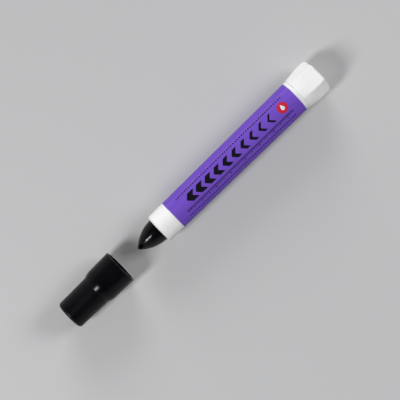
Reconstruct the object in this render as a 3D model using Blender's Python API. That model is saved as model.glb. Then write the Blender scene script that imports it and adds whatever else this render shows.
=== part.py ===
"""Twist-up solid paint marker, lying on its side with its cap pulled off.

The marker's axis runs along X: the knob is at -X, the paint tip and the cap at +X.
The ground is z = 0 and the origin lies under the middle of the whole length.
All sizes are in metres.
"""

import math

import bmesh
import bpy

# Lengths along the axis
KNOB_LENGTH = 0.0144
BARREL_LENGTH = 0.0987
REAR_BAND = 0.0019
NOSE_BAND = 0.0104
TIP_OUT = 0.0144
CAP_GAP = 0.0127
CAP_LENGTH = 0.0364
CAP_SKIRT_LENGTH = 0.0172

# Paint stick
STICK_RADIUS = 0.0065
TIP_BLUNT = 0.0004
TIP_SUNK = 0.0007

# Barrel
NOSE_WALL = 0.0014
NOSE_EDGE = 0.0013
NOSE_LAND = 0.0080
BARREL_TAPER = 0.0007
REAR_EDGE = 0.0002
BORE_STEP = 0.0004
RIB_COUNT = 4
RIB_WIDTH = 0.0016
RIB_SHY = 0.00005
RIB_ROOT = 0.0003
RIB_TO_GROOVE = 0.0010

# Label film, set in a shallow recess of the barrel
FILM_THICKNESS = 0.0002
FILM_END_GAP = 0.0002
FILM_SEAM = 0.0004
FILM_SEAM_ANGLE = math.radians(37.0)

# Twist knob, six-sided behind and nearly round at the barrel
KNOB_SIDES = 6
KNOB_FLARE = 0.00105
KNOB_SEAM_FLARE = 0.00025
KNOB_CORNER = 0.0008
KNOB_EDGE = 0.0021
KNOB_FLARE_LENGTH = 0.0082
KNOB_FLARE_EASE = 1.3
NECK_LENGTH = 0.0084
NECK_LEAD = 0.0006
BEAD_HEIGHT = 0.0004
BEAD_WIDTH = 0.0012
BEAD_FROM_END = 0.0020

# Seal ring in the neck's groove
SEAL_SECTION = 0.0014
SEAL_FROM_SHOULDER = 0.0026

# Feed screw, left-handed so that a clockwise turn winds the stick out
LEAD = 0.0040
SCREW_ROOT_RADIUS = 0.0019
THREAD_DEPTH = 0.0007
THREAD_CREST = 0.0009
THREAD_FLANK = 0.0006
THREAD_RUNOUT = 0.0014
SCREW_POINT = 0.0008
SCREW_BEHIND_NOSE = 0.0300
FLANGE_RADIUS = 0.0044
FLANGE_THICKNESS = 0.0015
PLUG_RADIUS = 0.0030
PLUG_LENGTH = 0.0090

# Carrier
CARRIER_BASE = 0.0056
CUP_DEPTH = 0.0040
CUP_WALL = 0.0010
PARK_GAP = 0.0010

# Cap
CAP_WALL = 0.0010
CAP_LIP_WALL = 0.0012
CAP_NARROW_WALL = 0.0012
CAP_END_WALL = 0.0013
CAP_SHOULDER_WALL = 0.0030
CAP_SHOULDER_CURVE = 0.0038
CAP_SHOULDER_EASE = 1.5
CAP_SHOULDER_STEP = 0.00012
CAP_END_EDGE = 0.0015
CAP_MOUTH_EDGE = 0.0003
CAP_DRAFT = 0.0003
CAP_BORE_DRAFT = 0.0001
TIP_ROOM = 0.0007

# Clearances
SEAM_GAP = 0.0003
STICK_CLEARANCE = 0.0003
RUN_CLEARANCE = 0.0003
SEAT_GAP = 0.0003
SEAL_GAP = 0.00025
FILM_GAP = 0.00015
SCREW_CLEARANCE = 0.0003
BORE_CLEARANCE = 0.0004
CAP_CLEARANCE = 0.00032

# Facets
TURN_STEPS = 40
SEAL_STEPS = 32
SECTION_STEPS = 8
THREAD_STEPS = 18
CURVE_STEPS = 4
OGIVE_STEPS = 9
MERGE_DISTANCE = 0.000001
SHARP_ANGLE = math.radians(32.0)

# Radii that follow from the sizes above
GUIDE_RADIUS = STICK_RADIUS + STICK_CLEARANCE
BORE_RADIUS = GUIDE_RADIUS + BORE_STEP
NOSE_RADIUS = GUIDE_RADIUS + NOSE_WALL
REAR_RADIUS = NOSE_RADIUS + BARREL_TAPER
RECESS_DEPTH = FILM_GAP + FILM_THICKNESS
NECK_RADIUS = BORE_RADIUS - RUN_CLEARANCE
CARRIER_RADIUS = BORE_RADIUS - RUN_CLEARANCE
SCREW_CREST_RADIUS = SCREW_ROOT_RADIUS + THREAD_DEPTH
STICK_BORE_RADIUS = SCREW_CREST_RADIUS + BORE_CLEARANCE
SEAL_GROOVE_RADIUS = BORE_RADIUS - SEAL_SECTION - 2 * SEAL_GAP
CAP_NARROW_BORE = STICK_RADIUS + TIP_ROOM
CAP_NARROW_RADIUS = CAP_NARROW_BORE + CAP_NARROW_WALL

# The knob's corners stand out from the barrel by the flare, and its flats follow from them
KNOB_CORNER_RADIUS = REAR_RADIUS + KNOB_FLARE
HALF_SIDE = math.pi / KNOB_SIDES
KNOB_FLAT_RADIUS = (KNOB_CORNER_RADIUS - KNOB_CORNER) * math.cos(HALF_SIDE) + KNOB_CORNER

# Places along X, measured from the barrel's rear face
NECK_FRONT = NECK_LENGTH - SEAM_GAP
FLANGE_REAR = NECK_FRONT + SEAT_GAP
FLANGE_FRONT = FLANGE_REAR + FLANGE_THICKNESS
SCREW_FRONT = BARREL_LENGTH - SCREW_BEHIND_NOSE
THREAD_START = FLANGE_FRONT + THREAD_RUNOUT
RETRACT_TRAVEL = TIP_OUT + TIP_SUNK
CARRIER_REAR = FLANGE_FRONT + PARK_GAP + RETRACT_TRAVEL
CUP_FLOOR = CARRIER_REAR + CARRIER_BASE
CUP_RIM = CUP_FLOOR + CUP_DEPTH
STICK_FOOT = CUP_RIM + SEAT_GAP
STICK_POINT = BARREL_LENGTH + TIP_OUT
STICK_BORE_END = SCREW_FRONT + RETRACT_TRAVEL + PARK_GAP
CAP_MOUTH = STICK_POINT + CAP_GAP
CAP_INNER_SHOULDER = CAP_SKIRT_LENGTH - CAP_SHOULDER_WALL


def barrel_radius(x):
    """Outer radius of the tapered barrel at a distance x from its rear face."""
    return REAR_RADIUS - BARREL_TAPER * x / BARREL_LENGTH


# The cap's skirt covers the nose, so its bore follows the barrel's taper with one clearance
CAP_BORE_INNER = NOSE_RADIUS + CAP_CLEARANCE
CAP_BORE_MOUTH = barrel_radius(BARREL_LENGTH - CAP_INNER_SHOULDER) + CAP_CLEARANCE
CAP_MOUTH_RADIUS = CAP_BORE_MOUTH + CAP_LIP_WALL

OVERALL_LENGTH = KNOB_LENGTH + SEAM_GAP + CAP_MOUTH + CAP_LENGTH
BARREL_REAR_X = KNOB_LENGTH + SEAM_GAP - OVERALL_LENGTH / 2
AXIS_HEIGHT = max(CAP_MOUTH_RADIUS, KNOB_FLAT_RADIUS)


def remove_everything():
    """Start from an empty scene."""
    for thing in list(bpy.data.objects):
        bpy.data.objects.remove(thing, do_unlink=True)


def make_material(name, colour, roughness):
    """A plain moulded or cast finish of one colour."""
    material = bpy.data.materials.new(name)
    material.use_nodes = True
    shader = material.node_tree.nodes["Principled BSDF"]
    shader.inputs["Base Color"].default_value = (*colour, 1.0)
    shader.inputs["Roughness"].default_value = roughness
    shader.inputs["Metallic"].default_value = 0.0
    return material


def finish_piece(name, bm, material, parent, x):
    """Turn a bmesh into a named, smooth-shaded object placed at x along its parent's axis."""
    bmesh.ops.recalc_face_normals(bm, faces=bm.faces)
    mesh = bpy.data.meshes.new(name)
    bm.to_mesh(mesh)
    bm.free()
    mesh.shade_smooth()
    mesh.set_sharp_from_angle(angle=SHARP_ANGLE)
    if material is not None:
        mesh.materials.append(material)
    piece = bpy.data.objects.new(name, mesh)
    bpy.context.scene.collection.objects.link(piece)
    piece.parent = parent
    piece.location.x = x
    return piece


def turn_outline(outline, steps):
    """Turn an outline of (x, radius) points about X; it closes on itself or on the axis."""
    bm = bmesh.new()
    points = [bm.verts.new((x, 0.0, radius)) for x, radius in outline]
    edges = [bm.edges.new(pair) for pair in zip(points, points[1:])]
    ends_on_axis = outline[0][1] == 0.0 and outline[-1][1] == 0.0
    if not ends_on_axis:
        edges.append(bm.edges.new((points[-1], points[0])))
    bmesh.ops.spin(
        bm,
        geom=points + edges,
        cent=(0.0, 0.0, 0.0),
        axis=(1.0, 0.0, 0.0),
        angle=math.tau,
        steps=steps,
        use_merge=True,
    )
    bmesh.ops.remove_doubles(bm, verts=bm.verts, dist=MERGE_DISTANCE)
    return bm


def loft_rings(rings):
    """Skin a row of rings with equal point counts and close both ends with a flat face."""
    bm = bmesh.new()
    rows = [[bm.verts.new(point) for point in ring] for ring in rings]
    count = len(rows[0])
    for near, far in zip(rows, rows[1:]):
        for i in range(count):
            j = (i + 1) % count
            bm.faces.new((near[i], near[j], far[j], far[i]))
    bm.faces.new(rows[0])
    bm.faces.new(rows[-1])
    return bm


def quarter_curve(x_start, radius_start, x_end, radius_end, leaves_along_axis):
    """Points of a quarter ellipse between two places on an outline.

    It leaves the first place along the axis and reaches the second across it, or the other
    way round.
    """
    points = []
    for i in range(CURVE_STEPS + 1):
        angle = math.pi / 2 * i / CURVE_STEPS
        early = math.sin(angle)
        late = 1.0 - math.cos(angle)
        along, across = (early, late) if leaves_along_axis else (late, early)
        x = x_start + (x_end - x_start) * along
        radius = radius_start + (radius_end - radius_start) * across
        points.append((x, radius))
    return points


def eased_curve(x_start, radius_start, x_end, radius_end, ease):
    """Points of a curve that leaves along the axis and turns in by a power of its share."""
    steps = 2 * CURVE_STEPS
    points = []
    for i in range(steps + 1):
        share = i / steps
        x = x_start + (x_end - x_start) * share
        points.append((x, radius_start + (radius_end - radius_start) * share**ease))
    return points


def polar_point(x, radius, angle):
    """A point at an angle about the X axis, counted from +Z towards -Y."""
    return (x, -radius * math.sin(angle), radius * math.cos(angle))


def boolean(piece, cutter, operation):
    """Cut or join a piece with another solid, which stays as a hidden wire guide."""
    cutter.hide_render = True
    cutter.display_type = "WIRE"
    modifier = piece.modifiers.new(cutter.name, "BOOLEAN")
    modifier.operation = operation
    modifier.object = cutter
    modifier.solver = "EXACT"


def bars_round_axis(name, count, width, inner, outer, x_start, x_end, parent, x):
    """Straight bars spaced evenly round the axis, in one guide object."""
    bm = bmesh.new()
    for i in range(count):
        turn = math.tau * i / count
        corners = []
        for bar_x in (x_start, x_end):
            for radial, side in ((inner, -1), (outer, -1), (outer, 1), (inner, 1)):
                across = side * width / 2
                y = across * math.cos(turn) - radial * math.sin(turn)
                z = across * math.sin(turn) + radial * math.cos(turn)
                corners.append(bm.verts.new((bar_x, y, z)))
        near, far = corners[:4], corners[4:]
        bm.faces.new(near)
        bm.faces.new(far)
        for j in range(4):
            k = (j + 1) % 4
            bm.faces.new((near[j], near[k], far[k], far[j]))
    return finish_piece(name, bm, None, parent, x)


def build_barrel(parent):
    """Tapered tube with a rounded nose, a label recess, guide ribs and a snap groove."""
    label_front = BARREL_LENGTH - NOSE_BAND
    nose_edge = min(NOSE_EDGE, NOSE_WALL - REAR_EDGE / 2)
    bead_middle = NECK_FRONT - BEAD_FROM_END
    groove_half = BEAD_WIDTH / 2 + RUN_CLEARANCE
    groove_radius = NECK_RADIUS + BEAD_HEIGHT + RUN_CLEARANCE
    land_rear = BARREL_LENGTH - NOSE_LAND
    bore_front = land_rear - BORE_STEP

    outline = [(0.0, REAR_RADIUS - REAR_EDGE), (REAR_EDGE, barrel_radius(REAR_EDGE))]
    outline += [
        (REAR_BAND, barrel_radius(REAR_BAND)),
        (REAR_BAND, barrel_radius(REAR_BAND) - RECESS_DEPTH),
        (label_front, barrel_radius(label_front) - RECESS_DEPTH),
        (label_front, barrel_radius(label_front)),
    ]
    edge_start = BARREL_LENGTH - nose_edge
    outline += quarter_curve(
        edge_start, barrel_radius(edge_start), BARREL_LENGTH, NOSE_RADIUS - nose_edge, True
    )
    outline += [
        (BARREL_LENGTH, GUIDE_RADIUS),
        (land_rear, GUIDE_RADIUS),
        (bore_front, BORE_RADIUS),
        (bead_middle + groove_half, BORE_RADIUS),
        (bead_middle + groove_half - BEAD_HEIGHT, groove_radius),
        (bead_middle - groove_half + BEAD_HEIGHT, groove_radius),
        (bead_middle - groove_half, BORE_RADIUS),
        (REAR_EDGE, BORE_RADIUS),
        (0.0, BORE_RADIUS + REAR_EDGE),
    ]
    material = make_material("white_barrel_plastic", (0.88, 0.88, 0.87), 0.35)
    bm = turn_outline(outline, TURN_STEPS)
    barrel = finish_piece("barrel", bm, material, parent, BARREL_REAR_X)

    ribs = bars_round_axis(
        "barrel_rib_guide",
        RIB_COUNT,
        RIB_WIDTH,
        GUIDE_RADIUS + RIB_SHY,
        BORE_RADIUS + RIB_ROOT,
        bead_middle + groove_half + RIB_TO_GROOVE,
        land_rear + RIB_ROOT,
        parent,
        BARREL_REAR_X,
    )
    boolean(barrel, ribs, "UNION")
    return barrel


def build_label(barrel):
    """Film wrapped once round the barrel, its two edges meeting at a narrow seam."""
    rear = REAR_BAND + FILM_END_GAP
    front = BARREL_LENGTH - NOSE_BAND - FILM_END_GAP
    seam = FILM_SEAM / REAR_RADIUS
    rings = []
    for i in range(TURN_STEPS + 1):
        angle = FILM_SEAM_ANGLE + seam / 2 + (math.tau - seam) * i / TURN_STEPS
        section = []
        for x, lift in ((rear, 0.0), (front, 0.0), (front, FILM_THICKNESS), (rear, FILM_THICKNESS)):
            section.append(polar_point(x, barrel_radius(x) - FILM_THICKNESS + lift, angle))
        rings.append(section)
    material = make_material("purple_label_film", (0.171, 0.084, 0.552), 0.30)
    return finish_piece("label_film", loft_rings(rings), material, barrel, 0.0)


def knob_angles():
    """Angles round the knob: an even run over each flat and one point on each corner."""
    tangent = math.atan((KNOB_FLAT_RADIUS - KNOB_CORNER) * math.tan(HALF_SIDE) / KNOB_FLAT_RADIUS)
    flat_steps = 2 * (CURVE_STEPS - 1)
    angles = []
    for side in range(KNOB_SIDES):
        middle = 2 * HALF_SIDE * side
        for i in range(flat_steps + 1):
            angles.append(middle + tangent * (2 * i / flat_steps - 1))
        angles.append(middle + HALF_SIDE)
    return angles


def polygon_radius(angle, flat_radius, corner, sides):
    """Distance from the axis to a regular polygon with rounded corners, flat at angle 0."""
    half = math.pi / sides
    off_flat = (angle + half) % (2 * half) - half
    tangent = math.atan((flat_radius - corner) * math.tan(half) / flat_radius)
    if abs(off_flat) <= tangent + MERGE_DISTANCE:
        return flat_radius / math.cos(off_flat)
    off_corner = half - abs(off_flat)
    corner_centre = (flat_radius - corner) / math.cos(half)
    reach = math.sqrt(corner**2 - (corner_centre * math.sin(off_corner)) ** 2)
    return corner_centre * math.cos(off_corner) + reach


def build_knob(parent):
    """Six-sided knob that flares out of the round, with a snap-in neck and a plug socket."""
    angles = knob_angles()

    def grip_ring(x, sixness, inset):
        ring = []
        for angle in angles:
            flats = polygon_radius(angle, KNOB_FLAT_RADIUS, KNOB_CORNER, KNOB_SIDES)
            radius = REAR_RADIUS + (flats - REAR_RADIUS) * sixness - inset
            ring.append(polar_point(x, radius, angle))
        return ring

    def round_ring(x, radius):
        return [polar_point(x, radius, angle) for angle in angles]

    rings = []
    for x, depth in quarter_curve(-KNOB_LENGTH, KNOB_EDGE, KNOB_EDGE - KNOB_LENGTH, 0.0, False):
        rings.append(grip_ring(x, 1.0, depth))
    seam_sixness = KNOB_SEAM_FLARE / KNOB_FLARE
    flare_steps = 2 * CURVE_STEPS
    for i in range(flare_steps + 1):
        share = i / flare_steps
        rounding = (1.0 - seam_sixness) * share**KNOB_FLARE_EASE
        x = -KNOB_FLARE_LENGTH * (1.0 - share) - REAR_EDGE
        rings.append(grip_ring(x, 1.0 - rounding, 0.0))
    rings.append(grip_ring(0.0, seam_sixness, REAR_EDGE))

    seal_half = SEAL_SECTION / 2 + SEAL_GAP
    bead_middle = NECK_LENGTH - BEAD_FROM_END
    bead_radius = NECK_RADIUS + BEAD_HEIGHT
    neck = [
        (0.0, NECK_RADIUS),
        (SEAL_FROM_SHOULDER - seal_half, NECK_RADIUS),
        (SEAL_FROM_SHOULDER - seal_half, SEAL_GROOVE_RADIUS),
        (SEAL_FROM_SHOULDER + seal_half, SEAL_GROOVE_RADIUS),
        (SEAL_FROM_SHOULDER + seal_half, NECK_RADIUS),
        (bead_middle - BEAD_WIDTH / 2, NECK_RADIUS),
        (bead_middle - BEAD_WIDTH / 2 + BEAD_HEIGHT, bead_radius),
        (bead_middle + BEAD_WIDTH / 2 - BEAD_HEIGHT, bead_radius),
        (bead_middle + BEAD_WIDTH / 2, NECK_RADIUS),
        (NECK_LENGTH - NECK_LEAD, NECK_RADIUS),
        (NECK_LENGTH, NECK_RADIUS - NECK_LEAD),
    ]
    rings += [round_ring(x, radius) for x, radius in neck]
    material = make_material("white_knob_plastic", (0.88, 0.88, 0.88), 0.35)
    knob = finish_piece("twist_knob", loft_rings(rings), material, parent, BARREL_REAR_X - SEAM_GAP)

    socket_radius = PLUG_RADIUS + SEAT_GAP / math.cos(HALF_SIDE)
    socket_floor = NECK_LENGTH - PLUG_LENGTH - SEAT_GAP
    socket_rings = []
    for x in (socket_floor, NECK_LENGTH + SEAT_GAP):
        corners = [2 * HALF_SIDE * i for i in range(KNOB_SIDES)]
        socket_rings.append([polar_point(x, socket_radius, corner) for corner in corners])
    socket = finish_piece("knob_socket_guide", loft_rings(socket_rings), None, knob, 0.0)
    boolean(knob, socket, "DIFFERENCE")
    return knob


def build_seal_ring(knob):
    """Ring of round section in the groove of the knob's neck."""
    middle = SEAL_GROOVE_RADIUS + SEAL_GAP + SEAL_SECTION / 2
    outline = []
    for i in range(SECTION_STEPS):
        angle = math.tau * i / SECTION_STEPS
        across = SEAL_SECTION / 2 * math.cos(angle)
        outline.append((SEAL_SECTION / 2 * math.sin(angle), middle + across))
    material = make_material("black_seal_rubber", (0.02, 0.02, 0.02), 0.6)
    bm = turn_outline(outline, SEAL_STEPS)
    return finish_piece("seal_ring", bm, material, knob, SEAL_FROM_SHOULDER)


def thread_rod(start, end, tail, point, grow):
    """A left-handed threaded rod along X as a closed mesh.

    Each step of the helix has four points: the foot and the crest of the ridge behind and in
    front of its middle. The foot in front meets the foot behind of the next turn, and rings
    of (x, radii) carry the rod on to the tail and to the point. All faces of the thread stand
    out by grow, which makes the matching cutter.
    """
    slope = math.hypot(THREAD_FLANK, THREAD_DEPTH) / THREAD_DEPTH
    crest_half = THREAD_CREST / 2 - grow * THREAD_FLANK / THREAD_DEPTH + grow * slope
    foot_half = crest_half + THREAD_FLANK
    foot_radius = SCREW_ROOT_RADIUS + grow
    crest_radius = SCREW_CREST_RADIUS + grow
    per_turn = THREAD_STEPS
    steps = max(per_turn + 1, round(per_turn * (end - start) / LEAD))
    bm = bmesh.new()
    feet_behind, crests_behind, crests_ahead, feet_ahead = [], [], [], []
    for k in range(steps + 1):
        angle = -math.tau * k / per_turn
        x = start + LEAD * k / per_turn
        feet_behind.append(bm.verts.new(polar_point(x - foot_half, foot_radius, angle)))
        crests_behind.append(bm.verts.new(polar_point(x - crest_half, crest_radius, angle)))
        crests_ahead.append(bm.verts.new(polar_point(x + crest_half, crest_radius, angle)))
        feet_ahead.append(bm.verts.new(polar_point(x + foot_half, foot_radius, angle)))

    lines = (feet_behind, crests_behind, crests_ahead, feet_ahead)
    for low, high in zip(lines, lines[1:]):
        for k in range(steps):
            bm.faces.new((low[k], low[k + 1], high[k + 1], high[k]))
    for k in range(steps - per_turn):
        next_turn = feet_behind[k + per_turn]
        after = feet_behind[k + per_turn + 1]
        bm.faces.new((feet_ahead[k], feet_ahead[k + 1], after, next_turn))
    for k in (0, steps):
        bm.faces.new([line[k] for line in lines])

    def rows_of(sections, first_step):
        rows = []
        for x, radii in sections:
            row = []
            for i in range(per_turn):
                angle = -math.tau * (first_step + i) / per_turn
                row.append(bm.verts.new(polar_point(x, radii(angle), angle)))
            rows.append(row)
        for near, far in zip(rows, rows[1:]):
            for i in range(per_turn):
                j = (i + 1) % per_turn
                bm.faces.new((near[i], near[j], far[j], far[i]))
        bm.faces.new(rows[-1])
        return rows[0]

    tail_row = rows_of(tail, 0)
    for i in range(per_turn - 1):
        bm.faces.new((tail_row[i], tail_row[i + 1], feet_behind[i + 1], feet_behind[i]))
    tail_side = (tail_row[-1], tail_row[0], feet_behind[0], feet_ahead[0])
    bm.faces.new(tail_side + (feet_behind[per_turn], feet_behind[per_turn - 1]))
    first = steps - per_turn
    point_row = rows_of(point, first)
    for i in range(1, per_turn):
        j = (i + 1) % per_turn
        bm.faces.new((feet_ahead[first + i], feet_ahead[first + i + 1], point_row[j], point_row[i]))
    point_side = (point_row[1], point_row[0], feet_ahead[steps], feet_behind[steps])
    bm.faces.new((feet_ahead[first], feet_ahead[first + 1]) + point_side)
    return bm


def constant_radius(radius):
    """A round section."""
    return lambda angle: radius


def plug_radius(angle):
    """The six-sided section of the screw's plug, with a corner at angle 0."""
    flat = PLUG_RADIUS * math.cos(HALF_SIDE)
    off_flat = angle % (2 * HALF_SIDE) - HALF_SIDE
    return flat / math.cos(off_flat)


def build_feed_screw(knob):
    """Coarse screw whose six-sided plug sits in the knob and turns with it."""
    root = constant_radius(SCREW_ROOT_RADIUS)
    tail = [
        (FLANGE_FRONT, root),
        (FLANGE_FRONT, constant_radius(FLANGE_RADIUS)),
        (FLANGE_REAR, constant_radius(FLANGE_RADIUS)),
        (FLANGE_REAR, plug_radius),
        (NECK_FRONT - PLUG_LENGTH, plug_radius),
    ]
    point = [
        (SCREW_FRONT - SCREW_POINT, root),
        (SCREW_FRONT, constant_radius(SCREW_ROOT_RADIUS - SCREW_POINT)),
    ]
    bm = thread_rod(THREAD_START, SCREW_FRONT - SCREW_POINT - THREAD_RUNOUT, tail, point, 0.0)
    material = make_material("screw_plastic", (0.75, 0.75, 0.73), 0.45)
    return finish_piece("feed_screw", bm, material, knob, SEAM_GAP)


def build_carrier(parent):
    """Cup for the stick's foot, threaded on the screw and notched for the barrel's ribs."""
    length = CARRIER_BASE + CUP_DEPTH
    cup_radius = CARRIER_RADIUS - CUP_WALL
    outline = [
        (0.0, 0.0),
        (0.0, CARRIER_RADIUS),
        (length, CARRIER_RADIUS),
        (length, cup_radius),
        (CARRIER_BASE, cup_radius),
        (CARRIER_BASE, 0.0),
    ]
    material = make_material("carrier_plastic", (0.80, 0.80, 0.78), 0.45)
    bm = turn_outline(outline, TURN_STEPS)
    carrier = finish_piece("stick_carrier", bm, material, parent, BARREL_REAR_X + CARRIER_REAR)

    notches = bars_round_axis(
        "carrier_notch_guide",
        RIB_COUNT,
        RIB_WIDTH + 2 * RUN_CLEARANCE,
        GUIDE_RADIUS + RIB_SHY - RUN_CLEARANCE,
        CARRIER_RADIUS + RUN_CLEARANCE,
        -RUN_CLEARANCE,
        length + RUN_CLEARANCE,
        carrier,
        0.0,
    )
    boolean(carrier, notches, "DIFFERENCE")

    # The cutter is the screw's own helix, shifted by whole turns to reach past both faces
    first_turn = math.floor((CARRIER_REAR - THREAD_START) / LEAD) - 1
    start = THREAD_START + first_turn * LEAD - CARRIER_REAR
    end = CARRIER_BASE + LEAD
    root = constant_radius(SCREW_ROOT_RADIUS + SCREW_CLEARANCE)
    bm = thread_rod(start, end, [(start - LEAD, root)], [(end + LEAD, root)], SCREW_CLEARANCE)
    cutter = finish_piece("carrier_thread_guide", bm, None, carrier, 0.0)
    boolean(carrier, cutter, "DIFFERENCE")
    return carrier


def build_stick(carrier):
    """Paint cast on a spigot in the carrier, bored for the screw, with a bullet point."""
    sharp_length = TIP_OUT + TIP_BLUNT
    arc_radius = (STICK_RADIUS**2 + sharp_length**2) / (2 * STICK_RADIUS)
    spigot_radius = CARRIER_RADIUS - CUP_WALL - SEAT_GAP
    outline = [
        (STICK_BORE_END, 0.0),
        (STICK_BORE_END - STICK_BORE_RADIUS / 2, STICK_BORE_RADIUS),
        (CUP_FLOOR + SEAT_GAP, STICK_BORE_RADIUS),
        (CUP_FLOOR + SEAT_GAP, spigot_radius),
        (STICK_FOOT, spigot_radius),
        (STICK_FOOT, STICK_RADIUS),
    ]
    for i in range(OGIVE_STEPS):
        along = TIP_OUT * math.sin(math.pi / 2 * i / OGIVE_STEPS)
        radius = math.sqrt(arc_radius**2 - along**2) - arc_radius + STICK_RADIUS
        outline.append((BARREL_LENGTH + along, radius))
    outline.append((STICK_POINT, 0.0))
    outline = [(x - CARRIER_REAR, radius) for x, radius in outline]
    material = make_material("solid_paint", (0.012, 0.010, 0.016), 0.30)
    return finish_piece("paint_stick", turn_outline(outline, TURN_STEPS), material, carrier, 0.0)


def build_cap(parent):
    """Stepped cap: a wide skirt that covers the nose and a narrower closed end for the tip."""
    skirt_radius = CAP_BORE_INNER + CAP_WALL
    curve_start = CAP_SKIRT_LENGTH - CAP_SHOULDER_CURVE
    end_radius = CAP_NARROW_RADIUS - CAP_DRAFT
    inner_end = CAP_LENGTH - CAP_END_WALL
    inner_edge = CAP_END_WALL / 2
    inner_radius = CAP_NARROW_BORE - CAP_BORE_DRAFT
    outline = [
        (inner_end, 0.0),
        (inner_end, inner_radius - inner_edge),
        (inner_end - inner_edge, inner_radius),
        (CAP_INNER_SHOULDER, CAP_NARROW_BORE),
        (CAP_INNER_SHOULDER, CAP_BORE_INNER),
        (CAP_MOUTH_EDGE, CAP_BORE_MOUTH),
        (0.0, CAP_BORE_MOUTH + CAP_MOUTH_EDGE / 2),
    ]
    mouth_edge = CAP_MOUTH_RADIUS - CAP_MOUTH_EDGE
    outline += quarter_curve(0.0, mouth_edge, CAP_MOUTH_EDGE, CAP_MOUTH_RADIUS, False)
    outline += eased_curve(
        curve_start,
        skirt_radius,
        CAP_SKIRT_LENGTH,
        CAP_NARROW_RADIUS + CAP_SHOULDER_STEP,
        CAP_SHOULDER_EASE,
    )
    outline.append((CAP_SKIRT_LENGTH, CAP_NARROW_RADIUS))
    edge_start = CAP_LENGTH - CAP_END_EDGE
    outline += quarter_curve(edge_start, end_radius, CAP_LENGTH, end_radius - CAP_END_EDGE, True)
    outline.append((CAP_LENGTH, 0.0))
    material = make_material("black_cap_plastic", (0.012, 0.010, 0.016), 0.25)
    bm = turn_outline(outline, TURN_STEPS)
    return finish_piece("cap", bm, material, parent, BARREL_REAR_X + CAP_MOUTH)


def build_marker():
    """Put all pieces on one axis above the ground."""
    remove_everything()
    axis = bpy.data.objects.new("marker_axis", None)
    bpy.context.scene.collection.objects.link(axis)
    axis.location.z = AXIS_HEIGHT
    barrel = build_barrel(axis)
    build_label(barrel)
    knob = build_knob(axis)
    build_seal_ring(knob)
    build_feed_screw(knob)
    carrier = build_carrier(axis)
    build_stick(carrier)
    build_cap(axis)


build_marker()
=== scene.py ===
"""Looks of a twist-up solid paint marker that lies on a pale floor with its cap pulled off.

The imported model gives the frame: metres, the marker's axis along X, knob at -X, cap at +X, z up.
Angles round the axis are counted from +Z towards +Y, and the camera looks at the angle FACING.
"""

import math

import bmesh
import bpy
import numpy as np
from mathutils import Matrix, Vector


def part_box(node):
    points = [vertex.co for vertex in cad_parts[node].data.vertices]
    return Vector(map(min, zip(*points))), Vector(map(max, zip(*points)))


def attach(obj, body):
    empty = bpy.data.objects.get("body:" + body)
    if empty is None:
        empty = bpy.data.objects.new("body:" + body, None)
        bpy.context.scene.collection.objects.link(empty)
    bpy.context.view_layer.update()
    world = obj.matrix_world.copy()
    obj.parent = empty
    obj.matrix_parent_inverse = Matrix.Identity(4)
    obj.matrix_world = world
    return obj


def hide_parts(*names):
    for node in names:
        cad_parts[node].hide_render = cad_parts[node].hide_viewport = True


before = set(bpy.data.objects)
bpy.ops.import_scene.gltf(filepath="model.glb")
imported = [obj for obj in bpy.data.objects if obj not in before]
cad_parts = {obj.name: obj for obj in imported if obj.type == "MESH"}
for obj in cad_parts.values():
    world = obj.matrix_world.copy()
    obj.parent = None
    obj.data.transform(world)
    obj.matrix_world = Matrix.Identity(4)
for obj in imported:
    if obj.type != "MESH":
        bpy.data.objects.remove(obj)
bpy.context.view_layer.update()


# Barrel
# A tapered tube of white polypropylene, injection moulded in one piece. Outside it has a shallow
# recess for the label and a rounded nose; inside, a snap groove, four ribs and the stick's guide.

barrel_low, barrel_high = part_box("barrel")
BARREL_REAR = barrel_low.x
BARREL_LENGTH = barrel_high.x - barrel_low.x
AXIS_HEIGHT = (barrel_low.z + barrel_high.z) / 2
REAR_RADIUS = (barrel_high.z - barrel_low.z) / 2
BARREL_TAPER = 0.0007
REAR_EDGE = 0.00014
REAR_BAND = 0.0019
NOSE_BAND = 0.0104
BAND_EDGE = 0.00006
LABEL_RECESS = 0.00011
NOSE_ROUND = 0.0012
NOSE_ROUND_FACE = 0.00114
GUIDE_RADIUS = 0.0068
GUIDE_LENGTH = 0.0080
GUIDE_EDGE = 0.00015
BORE_RADIUS = 0.0072
BORE_EDGE = 0.0002
RIB_COUNT = 4
RIB_RADIUS = 0.00685
RIB_WIDTH = 0.0016
RIB_END = 0.0001
RIBS_FROM = 0.0083
GROOVE_FROM, GROOVE_TO = 0.0052, 0.0070
GROOVE_DEPTH = 0.0004
TURN_STEPS = 192
ARC_STEPS = 8
GUARD = 0.00003
MERGE_WITHIN = 1e-8
NO_LENGTH = 1e-9
SHARP_ANGLE = math.radians(34.0)
WHITE = (0.905, 0.905, 0.900)
WHITE_SHADE = (0.875, 0.875, 0.872)
WHITE_WORN = (0.800, 0.792, 0.775)

label_front = BARREL_LENGTH - NOSE_BAND
guide_rear = BARREL_LENGTH - GUIDE_LENGTH
bore_front = guide_rear - (BORE_RADIUS - GUIDE_RADIUS)


def barrel_radius(x):
    """The taper: the rear radius less the taper's share of the distance x from the rear face."""
    return REAR_RADIUS - BARREL_TAPER * x / BARREL_LENGTH


def corner_at(x, radius, leave=0.0, join=None, wear=0.0):
    """A corner of an outline: its place, how far off its curve leaves and joins the sides, its wear.

    Without a distance to join, the curve joins as far off as it leaves. A corner with none is sharp.
    """
    return x, radius, leave, leave if join is None else join, wear


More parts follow.
